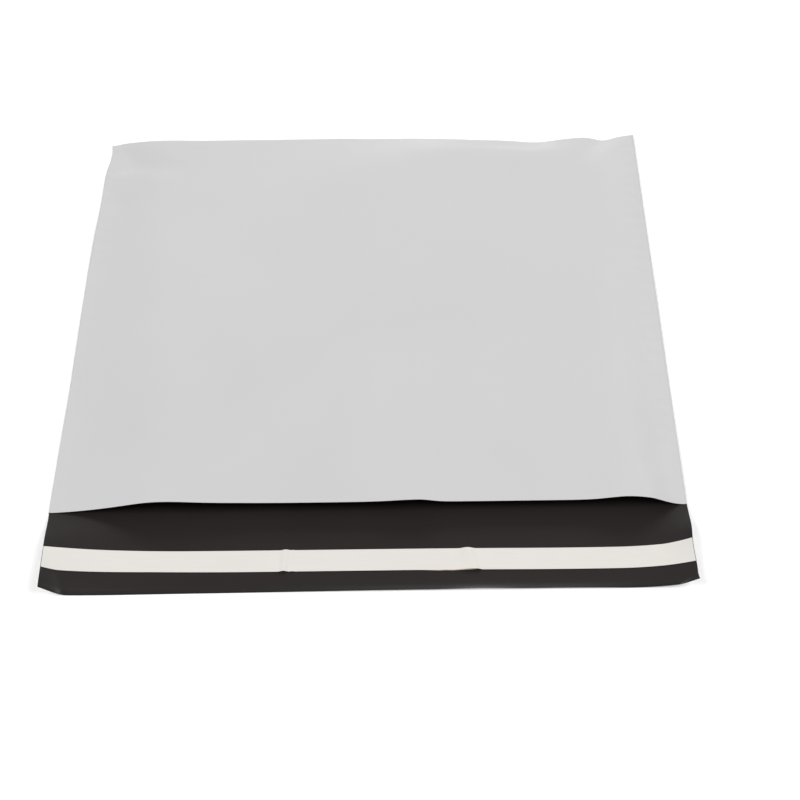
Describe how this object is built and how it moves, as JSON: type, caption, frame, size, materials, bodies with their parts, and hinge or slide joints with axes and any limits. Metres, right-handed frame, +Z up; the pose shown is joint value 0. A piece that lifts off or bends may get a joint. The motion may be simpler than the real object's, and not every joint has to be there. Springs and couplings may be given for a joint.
{
  "type": "poly mailer bag",
  "caption": "Empty self-seal film mailer lying open: grey outside, dark inside, side welds, bottom fold, and a flap with a glue line under a release liner.",
  "frame": {"origin": "on the surface the bag lies on, under the middle of its outline", "axes": "+X to the right across the mouth, +Y from the flap towards the bottom fold, +Z up out of the front panel"},
  "size_m": [0.35, 0.3531, 0.0086],
  "materials": {
    "grey_film": "satin light grey polyethylene film; the inner face is near-black brown",
    "glue": "clear amber hot-melt adhesive",
    "liner": "cream silicone-coated release strip"
  },
  "bodies": {
    "root": {"film_bag": "grey_film", "adhesive_strip": "glue", "release_liner": "liner"}
  },
  "joints": []
}
